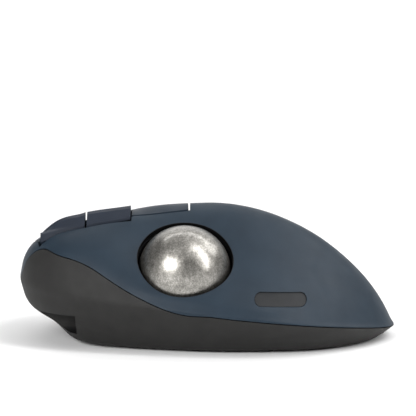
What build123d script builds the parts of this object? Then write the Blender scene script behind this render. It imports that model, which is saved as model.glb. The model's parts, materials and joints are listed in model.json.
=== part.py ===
from build123d import *
import os
from math import cos, exp, hypot, pi, sin

os.makedirs("parts", exist_ok=True)

# Thumb-operated trackball mouse, millimetres.
# Front (buttons) is -Y, palm is +Y, the thumb side is +X, up is +Z.
WALL = 2.1
PLATE_T = 1.9
FOOT_T = 0.8
FLOOR = FOOT_T + WALL
SEAM = 0.35
BALL_R = 16.5
BALL_C = (25.2, -8.3, 27.3)
BALL_TILT = 37.0 * pi / 180
CORE_R = 8.9
CUP_IN = 16.8
CUP_OUT = 19.2
OPENING_R = 16.9
BEARING_R = 1.2
EJECT_R = 5.2
BUTTON_END_Y = -7.3
REAR_GAP = 0.8
SPINE_X = (-14.0, -3.0)
SLOT_Y = (-44.0, -43.3)
SIDE_END_Y = -27.8
WHEEL_C = (-8.5, -30.0, 31.9)
WHEEL_R = 12.5
WHEEL_W = 6.6
AXLE_R = 1.5
PIVOT = (-14.5, 27.0)
BOARD_T = 1.2
MAIN_Z = 5.6
DECK_Z = 17.0
SIDE_Z = 33.0
LEFT_SWITCH = (4.0, -50.0)
RIGHT_SWITCH = (-25.0, -47.0)
WHEEL_SWITCH = (-0.6, -37.0)
DPI_SWITCH = (-8.5, -9.0)
FORWARD_SWITCH = (14.5, -51.6)
BACK_SWITCH = (14.2, -35.5)
MODE_BUTTON = (8.0, -32.0)
POWER_KNOB = (-4.0, -30.0)
SIDE_BOSSES = [(22.5, -48.5), (22.5, -41.0)]
SCREWS = [(22.0, -33.0), (-32.0, 21.0), (-18.0, 48.0), (20.0, 44.0)]
DECK_POSTS = [(-22.0, -36.0), (4.5, -40.0), (-27.0, -14.0), (-8.0, -20.5)]
CUP_LEGS = [(29.0, 4.5), (26.5, -20.5), (13.5, 3.0)]
PORT = (21.5, 8.5)
MOUTH_SHIFT = 5.2
BAY = (-24.0, 3.0)
BAY_SIZE = (16.0, 20.5, 7.4)
BATTERY = (-4.0, 31.0)
BADGE = (25.2, 19.9)
BADGE_SIZE = (18.4, 4.6)
BADGE_TURN = -3
RING_POINTS = 36
POLE = (-12.5, -35.0)
ON_FLOOR = (Align.CENTER, Align.CENTER, Align.MIN)

RIM = [
    (-5, -68.0), (17, -64.8), (30.5, -53), (37.5, -36), (43, -15), (46, 6), (45.5, 24),
    (40, 41), (29, 55), (14, 65.3), (1, 68.5), (-14, 65.8), (-29, 56.5), (-40, 40),
    (-45.4, 18), (-46, -4), (-43.5, -28), (-37.5, -49), (-25, -63.5),
]
FOOT = [
    (-3, -49), (12, -47.5), (21, -43.2), (27, -32), (31.5, -15), (34.5, 4), (34, 22),
    (31, 38), (24, 50), (12, 60), (1, 63), (-12, 60), (-24, 51), (-32.5, 36),
    (-36, 17), (-36.5, -4), (-34, -24), (-28, -39), (-17, -47.3),
]
# x, y, width, length of the low-friction pads
PADS = [(-4, -44.6, 22, 3.6), (30, 14, 3.6, 18), (-32, -20, 3.6, 14), (0, 57, 24, 3.6)]


# ---- shape of the hand surface -------------------------------------------------
def step(value, start, end):
    t = min(max((value - start) / (end - start), 0), 1)
    return t * t * (3 - 2 * t)


def rim_height(y):
    return 14.6 - 0.095 * min(y, 0) - 0.1 * max(y, 0) - 1.6e-7 * max(y, 0) ** 4


def crest_height(y):
    if y < 0:
        return 49.6 - 0.0029 * y * y
    return 4.2 + 45.4 * max(1 - (y / 68.6) ** 2, 0) ** 0.765


def crest_x(y):
    return 6 + 8 * step(-y, -10, 60) - 2 * step(y, 20, 68)


def ceiling(x, y):
    d = x - crest_x(y)
    if d > 0:
        drop = (0.81 - 0.36 * step(-y, 15, 55)) * (hypot(d, 6) - 6)
    else:
        drop = 0.16 * (hypot(d, 6) - 6) + d * d / 240
    dish = 4.8 * exp(-(((x - 28) / 12) ** 2) - ((y + 7) / 23) ** 2)
    return crest_height(y) - drop - dish


def seam_height(x, y):
    front = step(-y, 30, 66)
    lift = (20 - 5.5 * front) * step(-y, 4, 60) * step(x, 4, 19)
    right = 4 * step(-y, 10, 60) * step(-x, 8, 30)
    return rim_height(max(y, 0)) + 0.2 + 5 * front + lift + right


def ridge_height(y):
    return crest_height(y) + (1.9 + 1.4 * step(-y, 27, 48)) * step(y, -61.5, -53.5)


def ring(level, inset):
    """Closed row of points: level < 0 is the flank, level > 0 the hand surface."""
    points = []
    for i in range(RING_POINTS):
        rim = RIM_LINE @ (i / RING_POINTS)
        foot = FOOT_LINE @ (i / RING_POINTS)
        along = RIM_LINE % (i / RING_POINTS)
        side = Vector(along.Y, -along.X)
        if side.dot(rim - Vector(*POLE)) < 0:
            side = side * -1
        edge = rim - side * (1.35 * inset)
        top = rim_height(rim.Y)
        if level > 0:
            x = POLE[0] + level * (edge.X - POLE[0])
            y = POLE[1] + level * (edge.Y - POLE[1])
            bulge = max(1 - level ** (10.5 + 29 * step(rim.Y, 20, 62)), 0) ** 0.5
            z = top + (max(ceiling(x, y) - inset, top) - top) * bulge
        else:
            h = 1 + level
            bend = 0.8 - step(-rim.Y, 35, 60) * (0.05 + 0.5 * step(h, 0.3, 0.7))
            out = h ** bend if h > 0 else 5 * h
            inner = foot - side * (0.9 * inset)
            x = inner.X + (edge.X - inner.X) * out
            y = inner.Y + (edge.Y - inner.Y) * out
            z = FOOT_T + inset + ((top - FOOT_T - inset) * h if h > 0 else -0.5)
        points.append(Vector(x, y, z))
    return points


def hand_solid(inset):
    """Solid lofted through the rings, shrunk by inset on every side."""
    levels = [-1.04, -0.97, -0.85, -0.65, -0.42, -0.2, -0.06]
    levels += [1.0, 0.993, 0.975, 0.945, 0.9, 0.84, 0.76, 0.64, 0.5, 0.35, 0.2, 0.1, 0.04]
    rings = [ring(level, inset) for level in levels]
    last = sum(p.Z for p in rings[-1]) / RING_POINTS
    rings[-1] = [Vector(p.X, p.Y, last) for p in rings[-1]]
    loft_wires = [Wire([Edge.make_spline(r, periodic=True)]) for r in rings]
    return Solid.make_loft(loft_wires)


def below_seam(offset):
    """Everything under the line where the upper shell meets the base."""
    xs = [-66 + 6 * i for i in range(23)]
    ys = [-90 + 6 * j for j in range(31)]
    grid = [[Vector(x, y, seam_height(x, y) + offset) for y in ys] for x in xs]
    sheet = Face.make_surface_from_array_of_points(grid)
    return Solid.extrude(sheet, Vector(0, 0, -70))


def slab(low, high):
    """Box between two corners."""
    size = [b - a for a, b in zip(low, high)]
    middle = [(a + b) / 2 for a, b in zip(low, high)]
    return Pos(*middle) * Box(*size, mode=Mode.PRIVATE)


def post(x, y, low, high, radius):
    """Upright cylinder between two heights."""
    return Pos(x, y, (low + high) / 2) * Cylinder(radius, high - low, mode=Mode.PRIVATE)


def cross_bar(y, z, low, high, radius):
    """Cylinder along X between two stations."""
    return Pos((low + high) / 2, y, z) * Rot(0, 90, 0) * Cylinder(radius, high - low, mode=Mode.PRIVATE)


def column(sketch, low, high):
    """Upright prism of a plan outline."""
    with BuildPart(mode=Mode.PRIVATE) as prism:
        with BuildSketch(Plane.XY.offset(low)):
            add(sketch)
        extrude(amount=high - low)
    return prism.part


def outline(*points):
    """Plan outline through straight corners."""
    with BuildSketch(mode=Mode.PRIVATE) as plan:
        with BuildLine():
            Polyline(*points, close=True)
        make_face()
    return plan.sketch


def keep(piece, label):
    piece.label = label
    export_step(piece, f"parts/{label}.step")


RIM_LINE = Edge.make_spline([Vector(x, y) for x, y in RIM], periodic=True)
FOOT_LINE = Edge.make_spline([Vector(x, y) for x, y in FOOT], periodic=True)
OUTER = hand_solid(0)
INNER = hand_solid(WALL)
RECESSED = hand_solid(0.35)
UNDER_BADGE = hand_solid(0.95)
EMBED = hand_solid(1.3)
ROOM = hand_solid(WALL + 0.5)
DEEP = hand_solid(WALL + 1.7)
BALL_AXIS = (sin(BALL_TILT), 0.05, cos(BALL_TILT))
BALL_PLANE = Plane(BALL_C, x_dir=(0, 1, 0), z_dir=BALL_AXIS)
SENSOR_PLANE = Plane(BALL_C, x_dir=(0, 1, 0), z_dir=(-0.8, 0, -0.6))

# ---- plan outlines -----------------------------------------------------------------
with BuildSketch() as left_plan:
    with BuildLine():
        l1 = Line((SPINE_X[1] + 0.3, BUTTON_END_Y), (SPINE_X[1] + 0.3, -63.2))
        l2 = Spline(l1 @ 1, (6, -62.8), (12.2, -60.6))
        l3 = Line(l2 @ 1, (crest_x(-27) - 2, SIDE_END_Y + 0.4))
        l4 = Line(l3 @ 1, (crest_x(-27) + 3.6, SIDE_END_Y + 0.4))
        l5 = Spline(l4 @ 1, (12.3, -17), (10.7, BUTTON_END_Y))
        Line(l5 @ 1, l1 @ 0)
    make_face()

with BuildSketch() as right_plan:
    with BuildLine():
        r1 = Line((SPINE_X[0] - 0.3, BUTTON_END_Y), (SPINE_X[0] - 0.3, -62.6))
        r2 = Spline(r1 @ 1, (-22, -59.8), (-29, -54), (-34.5, -42), (-38.5, -24), (-40, BUTTON_END_Y))
        Line(r2 @ 1, r1 @ 0)
    make_face()

spine_plan = outline(
    (SPINE_X[0], BUTTON_END_Y), (SPINE_X[0], -62.6), (SPINE_X[1], -63.2), (SPINE_X[1], BUTTON_END_Y)
)

# one opening takes both main plates, the spine and the side buttons
with BuildSketch() as front_plan:
    with BuildLine():
        f1 = Line((11.4, BUTTON_END_Y + REAR_GAP), (-40.4, BUTTON_END_Y + REAR_GAP))
        f2 = Spline(f1 @ 1, (-38.9, -24), (-34.9, -42.2), (-29.3, -54.4), (-22.1, -60.2), (-14, -63.1))
        f3 = Spline(f2 @ 1, (-3, -63.7), (6.1, -63.3), (12.6, -61.4))
        f4 = Line(f3 @ 1, (crest_x(-60) + 3.1, -60.4))
        f5 = Line(f4 @ 1, (crest_x(-44) + 6.3, -44))
        f6 = Line(f5 @ 1, (crest_x(-28) + 6.6, SIDE_END_Y + 0.4))
        f7 = Line(f6 @ 1, (crest_x(-27) + 4.3, SIDE_END_Y + 0.5))
        f8 = Spline(f7 @ 1, (13.0, -17), f1 @ 0)
    make_face()


# ---- upper shell ---------------------------------------------------------------------
def upper_shell():
    opening = BALL_PLANE * Pos(0, 0, 20) * Cylinder(OPENING_R, 40)
    badge = Plane.YZ.offset(20) * Pos(*BADGE, 0) * extrude(SlotOverall(*BADGE_SIZE, BADGE_TURN), 40)
    bosses = [post(x, y, 9.2, 50, 3.2) & EMBED for x, y in SCREWS]
    bosses += [post(x, y, SIDE_Z + BOARD_T, 50, 1.8) & EMBED for x, y in SIDE_BOSSES]
    recess = (badge & OUTER) - UNDER_BADGE
    with BuildPart() as piece:
        add(OUTER)
        add(below_seam(SEAM / 2), mode=Mode.SUBTRACT)
        add(column(front_plan.sketch, 26, 64), mode=Mode.SUBTRACT)
        add(INNER, mode=Mode.SUBTRACT)
        add(opening, mode=Mode.SUBTRACT)
        add(recess, mode=Mode.SUBTRACT)
        for boss in bosses:
            add(boss)
        for x, y in SCREWS:
            add(post(x, y, 9, 18, 1.0), mode=Mode.SUBTRACT)
    return piece.part


def badge_inlay():
    with BuildPart() as piece:
        with BuildSketch(Plane.YZ.offset(20)):
            with Locations(BADGE):
                SlotOverall(BADGE_SIZE[0] - 0.2, BADGE_SIZE[1] - 0.2, BADGE_TURN)
        extrude(amount=40)
        add(RECESSED, mode=Mode.INTERSECT)
        add(UNDER_BADGE, mode=Mode.SUBTRACT)
    return piece.part


keep(upper_shell(), "top_shell")
keep(badge_inlay(), "side_badge")


# ---- base ------------------------------------------------------------------------------
def seam_lip():
    """Tongue that stands inside the upper shell along the seam."""
    low = below_seam(-3)
    tongue = (hand_solid(WALL + 0.15) & below_seam(1.3)) - low - DEEP
    root = (EMBED & below_seam(-0.6)) - low - DEEP
    clear = [post(x, y, 9.05, 60, 3.5) for x, y in SCREWS + SIDE_BOSSES]
    clear.append(Pos(*BALL_C) * Sphere(CUP_OUT + 0.35))
    clear.append(slab((11.5, -56.5, 33.5), (19.4, -48.2, 46)))
    return [tongue - clear, root - clear]


def port_form(width, height, low, high, shift=0):
    """Rounded slot along Y at the charging port, moved by shift towards the thumb side."""
    plan = Plane((PORT[0] + shift, high, PORT[1]), x_dir=(1, 0, 0), z_dir=(0, -1, 0))
    return plan * extrude(RectangleRounded(width, height, height / 2.2), high - low)


def base():
    bay_low = (BAY[0] - BAY_SIZE[0] / 2, BAY[1] - BAY_SIZE[1] / 2, -1)
    bay_high = (BAY[0] + BAY_SIZE[0] / 2, BAY[1] + BAY_SIZE[1] / 2, FOOT_T + BAY_SIZE[2])
    wall_low = (bay_low[0] - 1.3, bay_low[1] - 1.3, FLOOR - 1)
    wall_high = [v + 1.3 for v in bay_high]
    knob_low = (POWER_KNOB[0] - 1.9, POWER_KNOB[1] - 2.3, -1)
    knob_high = (POWER_KNOB[0] + 1.9, POWER_KNOB[1] + 5.3, 4)
    port_wall = port_form(23.0, 11.0, -62, -45.4, MOUTH_SHIFT) & OUTER
    port_mouth = port_form(19.6, 7.8, -80, -46.8, MOUTH_SHIFT) + port_form(9.3, 3.7, -50, -40)
    lip = seam_lip()
    with BuildPart() as piece:
        add(OUTER)
        add(below_seam(-SEAM / 2), mode=Mode.INTERSECT)
        add(INNER, mode=Mode.SUBTRACT)
        for part in lip:
            add(part)
        add(port_wall)
        add(slab(wall_low, wall_high))
        for x, y in SCREWS:
            add(post(x, y, FLOOR - 1, 9, 3.6))
        for x, y in DECK_POSTS:
            add(post(x, y, FLOOR - 1, DECK_Z, 2.2))
        add(post(*BALL_C[:2], FLOOR - 1, 8.2, EJECT_R + 1.3))
        add(slab((-60, -80, -5), (60, 80, FOOT_T)), mode=Mode.SUBTRACT)
        add(port_mouth, mode=Mode.SUBTRACT)
        add(slab(bay_low, bay_high), mode=Mode.SUBTRACT)
        add(slab(knob_low, knob_high), mode=Mode.SUBTRACT)
        add(post(*BALL_C[:2], -1, 12, EJECT_R), mode=Mode.SUBTRACT)
        add(post(*MODE_BUTTON, -1, 4, 3.1), mode=Mode.SUBTRACT)
        for x, y in SCREWS:
            add(post(x, y, -1, 3.9, 3.0), mode=Mode.SUBTRACT)
            add(post(x, y, 3, 10, 1.3), mode=Mode.SUBTRACT)
    return piece.part


keep(base(), "base_shell")


# ---- main buttons and the spine between them -------------------------------------------
def skin(plan, low=26):
    """Piece of the hand surface inside a plan outline."""
    return (column(plan, low, 64) & OUTER) - PLATE_INNER


def tongue(x0, x1, y0, y1, rise0, rise1):
    """Tab that runs under the upper shell, with the riser that carries it."""
    tab = (slab((x0, y0, 27), (x1, y1, 60)) & ROOM) - TAB_INNER
    riser = (slab((x0, rise0, 27), (x1, rise1, 60)) & EMBED) - TAB_INNER
    return tab + riser


def left_plate():
    x, y = LEFT_SWITCH
    with BuildPart() as piece:
        add(skin(left_plan.sketch))
        add(tongue(-1, 9, -11, 0, -11, BUTTON_END_Y - 1))
        add(post(x, y, DECK_Z + BOARD_T + 7.2, 60, 1.8) & EMBED)
    return piece.part


def right_plate():
    x, y = RIGHT_SWITCH
    with BuildPart() as piece:
        add(skin(right_plan.sketch, 26.8))
        add(tongue(-33, -21, -11, 0, -11, BUTTON_END_Y - 1))
        add(post(x, y, DECK_Z + BOARD_T + 7.2, 60, 1.8) & EMBED)
    return piece.part


def spine():
    slot = Pos(WHEEL_C[0], WHEEL_C[1], 24) * extrude(RectangleRounded(WHEEL_W + 1.2, 24.4, 2), 40)
    key = Pos(DPI_SWITCH[0], -12.8, 24) * extrude(RectangleRounded(6.4, 5.4, 1), 40)
    light = Pos(WHEEL_C[0], -52, 24) * extrude(SlotOverall(6, 1.8), 40)
    with BuildPart() as piece:
        add(skin(spine_plan))
        add(tongue(-13.6, -3.4, -9.2, 0, -9.2, BUTTON_END_Y - 0.3))
        add(tongue(-12, -5, -65.5, -59, -62, -59))
        add([slot, key, light], mode=Mode.SUBTRACT)
    return piece.part


def light_pipe():
    with BuildPart() as piece:
        with BuildSketch(Plane.XY.offset(24)):
            with Locations((WHEEL_C[0], -52)):
                SlotOverall(5.8, 1.6)
        extrude(amount=40)
        add(OUTER, mode=Mode.INTERSECT)
        add(DEEP, mode=Mode.SUBTRACT)
    return piece.part


def dpi_key():
    x, y = DPI_SWITCH
    cap = Pos(x, -12.8, 24) * extrude(RectangleRounded(5.8, 4.8, 0.8), 40)
    top = cap & RAISED
    with BuildPart() as piece:
        add(top - TAB_INNER)
        add(slab((x - 1.5, -14.2, 39), (x + 1.5, -9.7, 60)) & ROOM)
        add(slab((x - 1.5, -14.2, 38.6), (x + 1.5, y + 1.3, 41)))
        add(post(x, y, DECK_Z + BOARD_T + 9.2, 40, 1.3))
    return piece.part


PLATE_INNER = hand_solid(PLATE_T)
TAB_INNER = hand_solid(WALL + 1.9)
RAISED = hand_solid(-0.6)
keep(left_plate(), "left_button")
keep(right_plate(), "right_button")
keep(spine(), "centre_spine")
keep(light_pipe(), "light_pipe")
keep(dpi_key(), "dpi_button")


# ---- the two raised side buttons ---------------------------------------------------------
def side_section(y):
    """Cross-section of a side button: ridge on the left, thumb slope on the right."""
    x = crest_x(y)
    width = 5.6 - 3.1 * step(-y, 45, 60)
    top = ridge_height(y)
    low = crest_height(y) - 2.6
    slope = ceiling(x + width, y) + 0.35
    corners = [
        (x - 1.3, low), (x - 1.3, top - 1.3), (x - 0.5, top - 0.25), (x + 0.7, top),
        (x + 0.43 * width, top - 0.8), (x + 0.9 * width, max(slope + 0.7, low + 1.5)),
        (x + width, max(slope, low + 0.9)), (x + width, low),
    ]
    with BuildSketch(Plane((0, y, 0), x_dir=(1, 0, 0), z_dir=(0, -1, 0))) as section:
        with BuildLine():
            Polyline(*corners, close=True)
        make_face()
    return section.sketch


def side_button(stations, switch, tip):
    with BuildPart() as piece:
        for y in stations:
            add(side_section(y))
        loft(ruled=False)
        x, y = switch
        add(post(x, y, tip, crest_height(y) - 1.5, 1.4))
    return piece.part


SIDE_TIP = SIDE_Z + BOARD_T + 4.3
forward_stations = (-60, -56.5, -53, -48.5, SLOT_Y[0])
back_stations = (SLOT_Y[1], -38, -33, SIDE_END_Y)
keep(side_button(forward_stations, FORWARD_SWITCH, SIDE_TIP), "forward_button")
keep(side_button(back_stations, BACK_SWITCH, SIDE_TIP), "back_button")


# ---- ball, its core and its cup ----------------------------------------------------------
with BuildPart() as ball:
    with Locations(BALL_C):
        Sphere(BALL_R)
        Sphere(CORE_R + 0.05, mode=Mode.SUBTRACT)
keep(ball.part, "ball")

with BuildPart() as core:
    with Locations(BALL_C):
        Sphere(CORE_R)
keep(core.part, "ball_core")

SEAT = Rot(0, 128, 0) * Pos(0, 0, BALL_R + 0.03 + BEARING_R)
BEARINGS = [BALL_PLANE * Rot(0, 0, 60 + 120 * k) * SEAT for k in range(3)]
keep(Compound([p * Sphere(BEARING_R) for p in BEARINGS]), "support_bearings")


def cup():
    throat = BALL_PLANE * Pos(0, 0, 20) * Cylinder(CUP_IN, 40)
    bowl = Pos(*BALL_C) * Sphere(CUP_OUT)
    above = BALL_PLANE * Pos(0, 0, 4.6 + 20) * Box(60, 60, 40)
    window = SENSOR_PLANE * Pos(0, 0, 18) * Cylinder(3.2, 8)
    legs = [post(x, y, FLOOR + 0.02, 22, 2.4) for x, y in CUP_LEGS]
    with BuildPart() as piece:
        add(bowl & ROOM)
        add(legs)
        add(Pos(*BALL_C) * Sphere(CUP_IN, mode=Mode.PRIVATE), mode=Mode.SUBTRACT)
        add([throat, above, window], mode=Mode.SUBTRACT)
        add(post(*BALL_C[:2], 0, 14, EJECT_R), mode=Mode.SUBTRACT)
        add([p * Sphere(BEARING_R + 0.02, mode=Mode.PRIVATE) for p in BEARINGS], mode=Mode.SUBTRACT)
    return piece.part


keep(cup(), "ball_cup")


# ---- scroll wheel ------------------------------------------------------------------------
WHEEL_PLANE = Plane(WHEEL_C, x_dir=(0, 1, 0), z_dir=(1, 0, 0))


def wheel_hub():
    with BuildPart() as piece:
        with BuildSketch(WHEEL_PLANE):
            Circle(10.2)
            Circle(AXLE_R, mode=Mode.SUBTRACT)
            with PolarLocations(6, 6):
                Circle(2.1, mode=Mode.SUBTRACT)
        extrude(amount=(WHEEL_W - 0.6) / 2, both=True)
    return piece.part


def wheel_tyre():
    with BuildPart() as piece:
        with BuildSketch(WHEEL_PLANE):
            Circle(WHEEL_R)
        extrude(amount=WHEEL_W / 2, both=True)
        fillet(piece.edges().filter_by(GeomType.CIRCLE), 0.9)
        with BuildSketch(WHEEL_PLANE):
            Circle(10.2)
            with PolarLocations(WHEEL_R + 0.1, 24):
                Circle(0.45)
        extrude(amount=20, both=True, mode=Mode.SUBTRACT)
    return piece.part


def wheel_carrier():
    y, z = WHEEL_C[1:]
    with BuildSketch(Plane.YZ) as cheek:
        with BuildLine():
            Polyline(
                (-34, 29), (-34, 34.6), (-27, 35), (-12.5, 29.5),
                (-12.5, 24.8), (-16.5, 24.8), (-27, 28.6), close=True,
            )
        make_face()
    plate = extrude(cheek.sketch, 1.4)
    with BuildPart() as piece:
        add([Pos(x, 0, 0) * plate for x in (-14.0, -4.4)])
        add(slab((-13, PIVOT[0] - 1.5, PIVOT[1] - 2), (-4, PIVOT[0] + 1.5, PIVOT[1] + 1.6)))
        add(slab((-4.4, -39, 28.6), (1.4, -33.6, 30.4)))
        add([cross_bar(*PIVOT, -15.9, -13.5, 1.2), cross_bar(*PIVOT, -4, -1.1, 1.2)])
        add(cross_bar(y, z, -20, 4, AXLE_R + 0.06), mode=Mode.SUBTRACT)
    return piece.part


def wheel_frame():
    y, z = PIVOT
    top = DECK_Z + BOARD_T
    with BuildPart() as piece:
        add(slab((-17.2, y - 2.2, top), (0.2, y + 2.2, top + 1.6)))
        add(slab((-17.2, y - 2.2, top), (-15.4, y + 2.2, z + 2.4)))
        add(slab((-1.6, y - 2.2, top), (0.2, y + 2.2, z + 2.4)))
        add(cross_bar(y, z, -20, 4, 1.26), mode=Mode.SUBTRACT)
    return piece.part


def encoder():
    y, z = WHEEL_C[1:]
    with BuildPart() as piece:
        add(slab((-3.0, y - 3.4, z - 5), (0.4, y + 5, z + 5.4)))
        fillet(piece.edges().filter_by(Axis.X), 0.8)
        add(cross_bar(y, z, -5, 4, AXLE_R + 0.06), mode=Mode.SUBTRACT)
    return piece.part


keep(wheel_hub(), "wheel_hub")
keep(wheel_tyre(), "wheel_tyre")
keep(cross_bar(*WHEEL_C[1:], -14.6, -0.4, AXLE_R), "wheel_axle")
keep(wheel_carrier(), "wheel_carrier")
keep(wheel_frame(), "wheel_frame")
keep(encoder(), "encoder")


# ---- circuit boards ------------------------------------------------------------------------
def board(plan, low, holes):
    with BuildPart() as piece:
        with BuildSketch(Plane.XY.offset(low)):
            add(plan)
        extrude(amount=BOARD_T)
        add(DEEP, mode=Mode.INTERSECT)
        for x, y, radius in holes:
            add(post(x, y, low - 1, low + 3, radius), mode=Mode.SUBTRACT)
    return piece.part


main_plan = outline(
    (-30, -28), (-14, -43.5), (23, -44), (23, -40), (12, -34), (8, -27),
    (8, 14), (-14.2, 14), (-14.2, -9.2), (-30, -9.2),
)
deck_plan = outline((-34, -5.5), (-34, -38), (-30, -60), (8, -60), (8, -30), (0.6, -26), (0.6, -5.5))
side_board_plan = outline(
    (7.2, -56.5), (17, -56.5), (25, -51.5), (25, -38), (17.4, -37.4), (17.4, -29.4), (7.2, -29.4)
)
keep(board(main_plan, MAIN_Z, [(x, y, 2.35) for x, y in DECK_POSTS]), "main_board")
keep(board(deck_plan, DECK_Z, [(x, y, 1.0) for x, y in DECK_POSTS]), "button_board")
keep(board(side_board_plan, SIDE_Z, [(x, y, 0.8) for x, y in SIDE_BOSSES]), "side_board")

with BuildPart(SENSOR_PLANE.offset(24)) as sensor_board:
    Box(16, 13, 1.2, align=ON_FLOOR)
keep(sensor_board.part, "sensor_board")

with BuildPart(SENSOR_PLANE.offset(21.55)) as optical_sensor:
    Box(11, 8.4, 2.4, align=ON_FLOOR)
keep(optical_sensor.part, "optical_sensor")

with BuildPart(SENSOR_PLANE.offset(18)) as sensor_lens:
    Cylinder(3.0, 3, align=ON_FLOOR)
    with Locations((0, 0, 2.95)):
        Cylinder(4.2, 0.6, align=ON_FLOOR)
keep(sensor_lens.part, "sensor_lens")


# ---- switches and their plungers -------------------------------------------------------------
def click_switch(x, y, low, size, plunger, name):
    """Box switch on a board, with a plunger standing out of its top."""
    width, length, height = size
    across, along, rise = plunger
    top = low + height
    with BuildPart(Plane.XY.offset(low)) as housing:
        with Locations((x, y)):
            Box(width, length, height, align=ON_FLOOR)
        chamfer(housing.edges().filter_by(Axis.Z), 0.5)
        with Locations((x, y, height - 2.2)):
            Box(across + 0.2, along + 0.2, 5, align=ON_FLOOR, mode=Mode.SUBTRACT)
    with BuildPart(Plane.XY.offset(top - 1.3)) as pin:
        with Locations((x, y)):
            Box(across, along, 1.3 + rise, align=ON_FLOOR)
    keep(housing.part, name + "_switch")
    keep(pin.part, name + "_plunger")


DECK_TOP = DECK_Z + BOARD_T
click_switch(*LEFT_SWITCH, DECK_TOP, (5.8, 12.8, 6.4), (1.4, 2.6, 0.78), "left")
click_switch(*RIGHT_SWITCH, DECK_TOP, (5.8, 12.8, 6.4), (1.4, 2.6, 0.78), "right")
click_switch(*WHEEL_SWITCH, DECK_TOP, (6, 6, 9.2), (2.4, 2.4, 1.18), "wheel")
click_switch(*DPI_SWITCH, DECK_TOP, (6, 6, 8.4), (2.4, 2.4, 0.78), "dpi")
click_switch(*FORWARD_SWITCH, SIDE_Z + BOARD_T, (6, 6, 3.5), (2.4, 2.4, 0.78), "forward")
click_switch(*BACK_SWITCH, SIDE_Z + BOARD_T, (6, 6, 3.5), (2.4, 2.4, 0.78), "back")


# ---- things reached from underneath ----------------------------------------------------------
def mode_switch():
    x, y = MODE_BUTTON
    with BuildPart() as piece:
        add(slab((x - 2.6, y - 2.6, 4.5), (x + 2.6, y + 2.6, MAIN_Z)))
        add(post(x, y, 4, 5.3, 1.3), mode=Mode.SUBTRACT)
    return piece.part


def mode_cap():
    with BuildPart() as piece:
        add(post(*MODE_BUTTON, 1.1, 3.1, 2.8))
        add(post(*MODE_BUTTON, 3.0, 3.5, 3.6))
    return piece.part


def power_knob():
    x, y = POWER_KNOB
    with BuildPart() as piece:
        add(slab((x - 1.6, y - 2.0, 1.2), (x + 1.6, y + 2.0, 3.2)))
        add(slab((x - 2.6, y - 2.8, 2.95), (x + 2.6, y + 2.8, 3.3)))
        add(slab((x - 0.7, y - 1.0, 3.2), (x + 0.7, y + 1.0, 4.6)))
    return piece.part


def power_switch():
    x, y = POWER_KNOB
    with BuildPart() as piece:
        add(slab((x - 3.2, y - 4, 3.4), (x + 3.2, y + 7, MAIN_Z)))
        add(slab((x - 0.9, y - 1.4, 3), (x + 0.9, y + 4.4, 5)), mode=Mode.SUBTRACT)
    return piece.part


def receiver():
    x, y = BAY
    low = FOOT_T + 0.5
    rows = [y - 8.6 + 1.6 * k for k in range(4)]
    with BuildPart() as piece:
        add(slab((x - 7.6, y - 9.9, low), (x + 7.6, y - 2.2, low + 6.2)))
        fillet(piece.edges().filter_by(Axis.Z), 1.5)
        for row in rows:
            add(slab((x - 4, row, low - 1), (x + 4, row + 0.7, low + 0.3)), mode=Mode.SUBTRACT)
    return piece.part


def receiver_plug():
    x, y = BAY
    low = FOOT_T + 1.4
    with BuildPart() as piece:
        add(slab((x - 6, y - 2.2, low), (x + 6, y + 9.8, low + 4.5)))
        add(slab((x - 5.65, y - 1.5, low + 2.2), (x + 5.65, y + 12, low + 4.15)), mode=Mode.SUBTRACT)
    return piece.part


keep(mode_switch(), "mode_switch")
keep(post(*MODE_BUTTON, 3.55, 4.8, 1.15), "mode_plunger")
keep(mode_cap(), "mode_button")
keep(power_switch(), "power_switch")
keep(power_knob(), "power_knob")
keep(receiver(), "receiver")
keep(receiver_plug(), "receiver_plug")


# ---- battery, port, cable ---------------------------------------------------------------------
def battery_pack():
    x, y = BATTERY
    with BuildPart() as piece:
        add(slab((x - 18, y - 13, FLOOR + 0.05), (x + 18, y + 13, FLOOR + 7.6)))
        fillet(piece.edges().filter_by(Axis.Y), 2.4)
    return piece.part


def battery_strap():
    x, y = BATTERY
    top = FLOOR + 7.65
    with BuildPart() as piece:
        add(slab((x - 19.6, y - 4, FLOOR), (x + 19.6, y + 4, top + 1.1)))
        add(slab((x - 18.2, y - 5, 0), (x + 18.2, y + 5, top)), mode=Mode.SUBTRACT)
    return piece.part


def battery_leads():
    x, y = BATTERY
    leads = []
    for side in (-1.4, 1.4):
        stops = [(y - 13.02, 7), (y - 15.4, 8.6), (y - 18.2, 8.3)]
        points = [Vector(x + side, *stop) for stop in stops]
        path = Edge.make_spline(points, tangents=[(0, -1, 0), (0, -1, 0)])
        leads.append(sweep(Plane(path @ 0, z_dir=path % 0) * Circle(0.55), path))
    return Compound(leads)


def battery_socket():
    low = MAIN_Z + BOARD_T
    with BuildPart() as piece:
        add(slab((-7.6, 11.0, low), (-0.4, 13.2, low + 3)))
        with BuildSketch(Plane.XZ.offset(-13.2)):
            with Locations((BATTERY[0] - 1.4, 8.3), (BATTERY[0] + 1.4, 8.3)):
                Circle(0.6)
        extrude(amount=0.8, mode=Mode.SUBTRACT)
    return piece.part


def port_shell():
    return port_form(8.9, 3.2, -46.6, -39.4) - port_form(8.3, 2.6, -47, -40)


keep(battery_pack(), "battery_pack")
keep(battery_strap(), "battery_strap")
keep(battery_leads(), "battery_leads")
keep(battery_socket(), "battery_socket")
keep(port_shell(), "charge_port")
keep(slab((PORT[0] - 3.3, -45.9, PORT[1] - 0.35), (PORT[0] + 3.3, -40, PORT[1] + 0.35)), "port_tongue")

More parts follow.
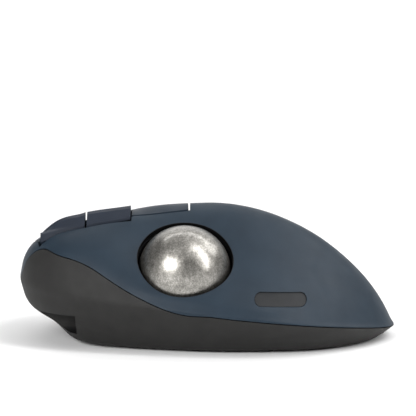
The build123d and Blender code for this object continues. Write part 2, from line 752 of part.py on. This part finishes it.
with BuildPart() as ribbon:
    with BuildSketch(Plane.YZ.offset(-14)):
        with BuildLine():
            b1 = Spline((-25, MAIN_Z + BOARD_T), (-23.6, 10), (-26.6, 14), (-25, DECK_Z))
            b2 = Line(b1 @ 1, (-25.35, DECK_Z))
            b3 = Spline(b2 @ 1, (-26.95, 14), (-23.95, 10), (-25.35, MAIN_Z + BOARD_T))
            Line(b3 @ 1, b1 @ 0)
        make_face()
    extrude(amount=9)
keep(ribbon.part, "ribbon_cable")


# ---- pads, screws, label ------------------------------------------------------------------------
def pad(x, y, width, length):
    turn = 0 if width > length else 90
    return Pos(x, y, 0) * extrude(SlotOverall(max(width, length), min(width, length), turn), FOOT_T)


def case_screw(x, y):
    slot = slab((x - 2, y - 0.4, 2), (x + 2, y + 0.4, 3))
    return post(x, y, 2.3, 3.9, 2.6) + post(x, y, 3.9, 16, 0.97) - slot


def board_screw(x, y):
    return post(x, y, DECK_TOP, DECK_TOP + 1.3, 2.1) + post(x, y, DECK_Z, DECK_TOP, 0.95)


keep(Compound([pad(*values) for values in PADS]), "glide_pads")
keep(Compound([case_screw(x, y) for x, y in SCREWS]), "case_screws")
keep(Compound([board_screw(x, y) for x, y in DECK_POSTS[:3]]), "board_screws")
with BuildPart() as base_label:
    with BuildSketch(Plane.XY.offset(FOOT_T - 0.15)):
        with Locations((2, 33)):
            RectangleRounded(26, 18, 1.5)
    extrude(amount=0.14)
keep(base_label.part, "base_label")
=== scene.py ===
import json
import math

import bpy
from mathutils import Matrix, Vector


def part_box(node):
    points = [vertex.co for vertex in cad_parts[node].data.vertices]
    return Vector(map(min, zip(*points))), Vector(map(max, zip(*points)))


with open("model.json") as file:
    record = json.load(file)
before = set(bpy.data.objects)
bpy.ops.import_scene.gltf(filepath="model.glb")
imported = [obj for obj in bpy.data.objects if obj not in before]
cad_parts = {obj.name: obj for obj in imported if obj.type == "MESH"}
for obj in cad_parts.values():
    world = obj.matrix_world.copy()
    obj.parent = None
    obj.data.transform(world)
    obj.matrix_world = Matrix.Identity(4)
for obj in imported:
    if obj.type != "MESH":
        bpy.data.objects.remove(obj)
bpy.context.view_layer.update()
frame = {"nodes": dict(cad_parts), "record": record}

nodes = frame["nodes"]
scene = bpy.context.scene
MM = 0.001

# the ball's opening and the charging recess, whose insides get painted shade: a near-black colour
# where they would lie in shade
OPENING_TILT = math.radians(37)
OPENING_RADIUS = 17.05 * MM
RECESS_LOW = (0.0175, -0.070, 0.0045)
RECESS_HIGH = (0.0365, -0.0467, 0.0125)
# near-black painted shade tone for the insides of the ball's opening and the charging recess
PAINTED_SHADE = (0.003, 0.003, 0.0033)
EDGE_BLUR = 0.08 * MM

# camera: lens and sensor in millimetres, height angle and downward tilt
LENS = 152.71875
SENSOR = 36
ELEVATION = math.radians(9.0)
PITCH = math.radians(7.078686)
DISTANCE = 0.65
AIM_HEIGHT = 0.025


# ---- materials -----------------------------------------------------------------------
class Graph:
    """A material's node tree, with short calls for the nodes used here. Sizes are in metres."""

    def __init__(self, name, rough, metal=0.0):
        self.mat = bpy.data.materials.new(name)
        self.mat.use_nodes = True
        self.tree = self.mat.node_tree
        self.shader = self.tree.nodes["Principled BSDF"]
        self.shader.inputs["Roughness"].default_value = rough
        self.shader.inputs["Metallic"].default_value = metal
        self.coords = self.tree.nodes.new("ShaderNodeTexCoord").outputs["Object"]

    def link(self, a, b):
        self.tree.links.new(a, b)

    def noise(self, size, detail=3.0, roughness=0.5, stretch=None):
        """Noise whose features are about size across."""
        source = self.coords
        if stretch:
            mapping = self.tree.nodes.new("ShaderNodeMapping")
            mapping.inputs["Scale"].default_value = stretch
            self.link(source, mapping.inputs["Vector"])
            source = mapping.outputs["Vector"]
        node = self.tree.nodes.new("ShaderNodeTexNoise")
        node.inputs["Scale"].default_value = 1.0 / size
        node.inputs["Detail"].default_value = detail
        node.inputs["Roughness"].default_value = roughness
        self.link(source, node.inputs["Vector"])
        return node.outputs["Fac"]

    def cells(self, size):
        node = self.tree.nodes.new("ShaderNodeTexVoronoi")
        node.inputs["Scale"].default_value = 1.0 / size
        self.link(self.coords, node.inputs["Vector"])
        return node

    def spread(self, value, low, high, start=0.3, end=0.7):
        node = self.tree.nodes.new("ShaderNodeMapRange")
        node.inputs["From Min"].default_value = start
        node.inputs["From Max"].default_value = end
        node.inputs["To Min"].default_value = low
        node.inputs["To Max"].default_value = high
        self.link(value, node.inputs["Value"])
        return node.outputs["Result"]

    def ramp(self, value, *stops):
        node = self.tree.nodes.new("ShaderNodeValToRGB")
        ramp = node.color_ramp
        while len(ramp.elements) < len(stops):
            ramp.elements.new(0.5)
        for element, (place, colour) in zip(ramp.elements, stops):
            element.position = place
            element.color = (*colour, 1.0)
        self.link(value, node.inputs["Fac"])
        return node.outputs["Color"]

    def colour(self, output):
        self.link(output, self.shader.inputs["Base Color"])

    def roughness(self, output):
        self.link(output, self.shader.inputs["Roughness"])

    def bump(self, height, depth, strength=1.0):
        node = self.tree.nodes.new("ShaderNodeBump")
        node.inputs["Distance"].default_value = depth
        node.inputs["Strength"].default_value = strength
        previous = self.shader.inputs["Normal"]
        if previous.is_linked:
            self.link(previous.links[0].from_socket, node.inputs["Normal"])
        self.link(height, node.inputs["Height"])
        self.link(node.outputs["Normal"], previous)


def moulded(name, dark, light, rough, grain=0.35 * MM, depth=0.02 * MM, metal=0.0):
    """Moulded plastic: faint cloudy colour, fine texture, uneven sheen."""
    g = Graph(name, rough, metal)
    g.shader.inputs["Specular IOR Level"].default_value = 0.34
    g.colour(g.ramp(g.noise(9 * MM, 4), (0.3, dark), (0.7, light)))
    g.roughness(g.spread(g.noise(5 * MM, 4), rough - 0.04, rough + 0.05))
    g.bump(g.noise(grain, 2, 0.6), depth)
    return g


def soft_touch(name, dark, light, rough):
    """Velvety coated plastic with a little dust in its grain."""
    g = moulded(name, dark, light, rough, 0.22 * MM, 0.012 * MM)
    g.shader.inputs["Specular IOR Level"].default_value = 0.2
    g.bump(g.noise(2.5 * MM, 2), 0.01 * MM, 0.4)
    return g


def vector_math(g, operation, a, b):
    node = g.tree.nodes.new("ShaderNodeVectorMath")
    node.operation = operation
    g.link(a, node.inputs[0])
    if isinstance(b, tuple):
        node.inputs[1].default_value = b
    elif b is not None:
        g.link(b, node.inputs[3 if operation == "SCALE" else 1])
    return node


def darken_inside(g, edge, tone):
    """The tone where edge is 0, the material's own colour where it is 1."""
    own = g.shader.inputs["Base Color"].links[0].from_socket
    mix = g.tree.nodes.new("ShaderNodeMix")
    mix.data_type = "RGBA"
    mix.inputs["A"].default_value = (*tone, 1.0)
    g.link(edge, mix.inputs["Factor"])
    g.link(own, mix.inputs["B"])
    g.colour(mix.outputs["Result"])


def maximum(g, a, b):
    node = g.tree.nodes.new("ShaderNodeMath")
    node.operation = "MAXIMUM"
    g.link(a, node.inputs[0])
    g.link(b, node.inputs[1])
    return node.outputs["Value"]


def paint_recess_shade(g, low, high, tone):
    """Painted shade: black inside a recess that fills the box between two corners, where the lamps
    would otherwise light it.
    """
    centre = tuple((a + b) / 2 for a, b in zip(low, high))
    half = tuple((b - a) / 2 for a, b in zip(low, high))
    offset = vector_math(g, "SUBTRACT", g.coords, centre).outputs["Vector"]
    scaled = vector_math(g, "DIVIDE", offset, half).outputs["Vector"]
    size = vector_math(g, "ABSOLUTE", scaled, None).outputs["Vector"]
    axes = g.tree.nodes.new("ShaderNodeSeparateXYZ")
    g.link(size, axes.inputs["Vector"])
    reach = maximum(g, maximum(g, axes.outputs["X"], axes.outputs["Y"]), axes.outputs["Z"])
    darken_inside(g, g.spread(reach, 0.0, 1.0, 0.998, 1.002), tone)


def paint_throat_shade(g, centre, axis, radius, tone):
    """Painted shade: black edge round the ball's opening, within radius of the opening's axis,
    standing in for the shade in the gap round the ball.
    """
    from_centre = vector_math(g, "SUBTRACT", g.coords, centre).outputs["Vector"]
    across = vector_math(g, "CROSS_PRODUCT", from_centre, axis).outputs["Vector"]
    reach = vector_math(g, "LENGTH", across, None).outputs["Value"]
    darken_inside(g, g.spread(reach, 0.0, 1.0, radius - EDGE_BLUR, radius + EDGE_BLUR), tone)


def pearl_ball(name):
    g = Graph(name, 0.2, 0.95)
    flakes = g.cells(0.5 * MM)
    cloud = g.noise(2.6 * MM, 6, 0.7)
    grain = g.noise(0.55 * MM, 4, 0.75)
    mix = g.tree.nodes.new("ShaderNodeMath")
    mix.operation = "MULTIPLY_ADD"
    mix.inputs[1].default_value = 0.55
    g.link(grain, mix.inputs[0])
    half = g.spread(cloud, 0.0, 0.45, 0.0, 1.0)
    g.link(half, mix.inputs[2])
    dark, middle, light = (0.11, 0.105, 0.095), (0.26, 0.25, 0.229), (0.54, 0.522, 0.486)
    g.colour(g.ramp(mix.outputs["Value"], (0.36, dark), (0.5, middle), (0.68, light)))
    g.roughness(g.spread(flakes.outputs["Distance"], 0.26, 0.40, 0.0, 0.6))
    g.bump(grain, 0.02 * MM, 0.5)
    g.shader.inputs["Coat Weight"].default_value = 0.45
    g.shader.inputs["Coat Roughness"].default_value = 0.12
    return g


def brushed(name, tone, rough=0.28):
    g = Graph(name, rough, 1.0)
    lines = g.noise(0.3 * MM, 3, 0.6, (1, 12, 12))
    g.colour(g.ramp(lines, (0.3, [c * 0.82 for c in tone]), (0.7, tone)))
    g.roughness(g.spread(lines, rough - 0.06, rough + 0.1))
    g.bump(lines, 0.004 * MM)
    return g


def solder_mask(name):
    g = Graph(name, 0.3)
    cells = g.cells(3.2 * MM)
    dark, light, middle = (0.008, 0.09, 0.035), (0.012, 0.15, 0.06), (0.01, 0.12, 0.05)
    g.colour(g.ramp(cells.outputs["Distance"], (0.05, dark), (0.12, light), (0.6, middle)))
    g.roughness(g.spread(g.noise(2 * MM), 0.25, 0.4))
    g.bump(cells.outputs["Distance"], 0.03 * MM, 0.4)
    return g


def clear(name, tint, rough=0.05):
    g = Graph(name, rough)
    g.shader.inputs["Transmission Weight"].default_value = 0.9
    g.colour(g.ramp(g.noise(4 * MM), (0.3, [c * 0.95 for c in tint]), (0.7, tint)))
    g.roughness(g.spread(g.noise(1.5 * MM), rough, rough + 0.06))
    return g


def paper(name):
    g = Graph(name, 0.55)
    g.colour(g.ramp(g.noise(0.4 * MM, 5, 0.7), (0.3, (0.50, 0.50, 0.49)), (0.7, (0.58, 0.58, 0.57))))
    g.bump(g.noise(0.3 * MM), 0.01 * MM)
    return g


look = {
    "shell_blue": soft_touch("shell_blue", (0.011, 0.020, 0.031), (0.014, 0.025, 0.038), 0.5),
    "button_blue": soft_touch("button_blue", (0.011, 0.018, 0.028), (0.014, 0.022, 0.033), 0.46),
    "button_black": soft_touch("button_black", (0.013, 0.017, 0.026), (0.016, 0.021, 0.032), 0.44),
    "base_black": moulded(
        "base_black", (0.0100, 0.0097, 0.0092), (0.0130, 0.0127, 0.0120), 0.66, 0.3 * MM, 0.03 * MM
    ),
    "spine_black": moulded("spine_black", (0.011, 0.012, 0.014), (0.014, 0.015, 0.018), 0.38),
    "badge": moulded("badge", (0.004, 0.005, 0.006), (0.006, 0.007, 0.009), 0.6, 0.5 * MM, 0.004 * MM),
    "light_pipe": clear("light_pipe", (0.8, 0.85, 0.9), 0.25),
    "ball_silver": pearl_ball("ball_silver"),
    "ball_core": moulded("ball_core", (0.2, 0.2, 0.2), (0.25, 0.25, 0.25), 0.5),
    "bearing": moulded("bearing", (0.72, 0.72, 0.7), (0.8, 0.8, 0.78), 0.12, 0.4 * MM, 0.002 * MM),
    "cup_black": moulded("cup_black", (0.004, 0.004, 0.0045), (0.006, 0.006, 0.0065), 0.45),
    "wheel_hub": moulded("wheel_hub", (0.02, 0.02, 0.02), (0.028, 0.028, 0.028), 0.45),
    "wheel_rubber": moulded(
        "wheel_rubber", (0.012, 0.012, 0.012), (0.018, 0.018, 0.018), 0.7, 0.25 * MM, 0.03 * MM
    ),
    "steel": brushed("steel", (0.62, 0.62, 0.63)),
    "frame_plastic": moulded("frame_plastic", (0.03, 0.03, 0.03), (0.04, 0.04, 0.04), 0.5),
    "switch_black": moulded("switch_black", (0.012, 0.012, 0.012), (0.018, 0.018, 0.018), 0.3),
    "board": solder_mask("board"),
    "lens": clear("lens", (0.9, 0.93, 0.95)),
    "plunger": moulded("plunger", (0.68, 0.68, 0.66), (0.76, 0.76, 0.74), 0.35),
    "knob": moulded("knob", (0.22, 0.22, 0.22), (0.28, 0.28, 0.28), 0.4),
    "receiver_black": moulded("receiver_black", (0.015, 0.015, 0.015), (0.02, 0.02, 0.02), 0.5),
    "battery": brushed("battery", (0.55, 0.57, 0.6), 0.38),
    "wire": moulded("wire", (0.25, 0.01, 0.01), (0.32, 0.015, 0.012), 0.45),
    "ribbon": moulded("ribbon", (0.6, 0.6, 0.58), (0.68, 0.68, 0.66), 0.4),
    "pad": moulded("pad", (0.03, 0.03, 0.031), (0.04, 0.04, 0.041), 0.32, 0.6 * MM, 0.006 * MM),
    "label": paper("label"),
}
ball_low, ball_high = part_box("ball")
ball_centre = tuple((a + b) / 2 for a, b in zip(ball_low, ball_high))
opening_axis = Vector((math.sin(OPENING_TILT), 0.05, math.cos(OPENING_TILT))).normalized()
# painted shade on the shell round the ball's opening
paint_throat_shade(look["shell_blue"], ball_centre, tuple(opening_axis), OPENING_RADIUS, PAINTED_SHADE)
# painted shade inside the charging recess of the base
paint_recess_shade(look["base_black"], RECESS_LOW, RECESS_HIGH, PAINTED_SHADE)

for part in frame["record"]["subparts"]:
    mesh = nodes[part["node"]].data
    mesh.materials.clear()
    mesh.materials.append(look[part["material_slot"]].mat)


# ---- floor, light, camera ---------------------------------------------------------------
def studio_floor():
    """White table whose far edge curves up into a wall."""
    g = Graph("studio_floor", 0.8)
    g.shader.inputs["Specular IOR Level"].default_value = 0.2
    g.colour(g.ramp(g.noise(0.05, 3), (0.3, (0.86, 0.86, 0.86)), (0.7, (0.88, 0.88, 0.88))))
    profile = [(3.0, 0.0), (-1.2, 0.0)]
    for k in range(1, 13):
        turn = math.pi / 2 * k / 12
        profile.append((-1.2 - 1.2 * math.sin(turn), 1.2 - 1.2 * math.cos(turn)))
    profile.append((-2.4, 4.0))
    verts = [(x, y, z) for x, z in profile for y in (-4.0, 4.0)]
    faces = [(2 * k, 2 * k + 1, 2 * k + 3, 2 * k + 2) for k in range(len(profile) - 1)]
    mesh = bpy.data.meshes.new("floor")
    mesh.from_pydata(verts, [], faces)
    mesh.polygons.foreach_set("use_smooth", [True] * len(faces))
    mesh.materials.append(g.mat)
    floor = bpy.data.objects.new("floor", mesh)
    scene.collection.objects.link(floor)


def softbox(name, place, aim, size, power, tint=(1, 1, 1)):
    data = bpy.data.lights.new(name, "AREA")
    data.shape = "RECTANGLE"
    data.size, data.size_y = size
    data.energy = power
    data.color = tint
    lamp = bpy.data.objects.new(name, data)
    lamp.location = place
    lamp.rotation_euler = (Vector(aim) - Vector(place)).to_track_quat("-Z", "Y").to_euler()
    scene.collection.objects.link(lamp)


studio_floor()
middle = (0.01, 0.0, 0.03)
softbox("overhead", (0.5, 0.0, 1.5), middle, (1.6, 1.6), 3.8)
softbox("key", (0.68, -0.50, 0.42), middle, (0.46, 0.46), 7.4)
softbox("palm_strip", (0.36, 0.62, 0.66), middle, (0.24, 1.05), 8)
softbox("palm_rim", (-0.26, 0.68, 0.66), middle, (0.45, 0.40), 2.4)
softbox("backdrop", (-1.2, 0.0, 2.2), (-2.2, 0, 0.9), (3.0, 1.0), 46)

world = bpy.data.worlds.new("studio")
world.use_nodes = True
world.node_tree.nodes["Background"].inputs["Color"].default_value = (1, 1, 1, 1)
world.node_tree.nodes["Background"].inputs["Strength"].default_value = 0.17
scene.world = world
scene.view_settings.view_transform = "Standard"

camera_data = bpy.data.cameras.new("camera")
camera_data.lens = LENS
camera_data.sensor_width = SENSOR
camera_data.clip_start = 0.01
camera = bpy.data.objects.new("camera", camera_data)
camera.location = (DISTANCE * math.cos(ELEVATION), 0, AIM_HEIGHT + DISTANCE * math.sin(ELEVATION))
camera.rotation_euler = (math.pi / 2 - PITCH, 0, math.pi / 2)
scene.collection.objects.link(camera)
scene.camera = camera
